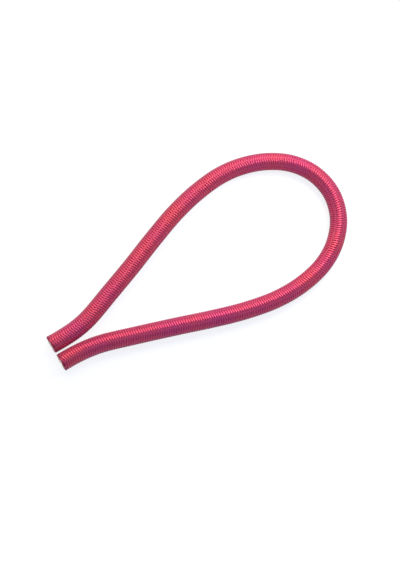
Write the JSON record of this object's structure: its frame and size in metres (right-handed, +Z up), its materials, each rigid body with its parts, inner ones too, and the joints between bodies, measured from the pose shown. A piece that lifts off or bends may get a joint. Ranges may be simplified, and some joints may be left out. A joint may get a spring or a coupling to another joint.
{
  "type": "elastic cord",
  "caption": "Round elastic cord with a braided satin cover over rubber strands, bent into a teardrop loop with its two cut ends side by side.",
  "frame": {"origin": "middle of the loop's outline, on the plane that the cord lies on", "axes": "+X along the loop, from the two cut ends to the round end; +Z up, square to the plane of the loop"},
  "size_m": [0.0762, 0.0354, 0.004],
  "materials": {
    "cover_yarn": "satin",
    "rubber": "matte"
  },
  "bodies": {
    "root": {"braided_cover": "cover_yarn", "centre_strand": "rubber", "inner_strand_1": "rubber", "inner_strand_2": "rubber", "inner_strand_3": "rubber", "inner_strand_4": "rubber", "inner_strand_5": "rubber", "inner_strand_6": "rubber", "outer_strand_1": "rubber", "outer_strand_2": "rubber", "outer_strand_3": "rubber", "outer_strand_4": "rubber", "outer_strand_5": "rubber", "outer_strand_6": "rubber", "outer_strand_7": "rubber", "outer_strand_8": "rubber", "outer_strand_9": "rubber", "outer_strand_10": "rubber", "outer_strand_11": "rubber", "outer_strand_12": "rubber"}
  },
  "joints": []
}
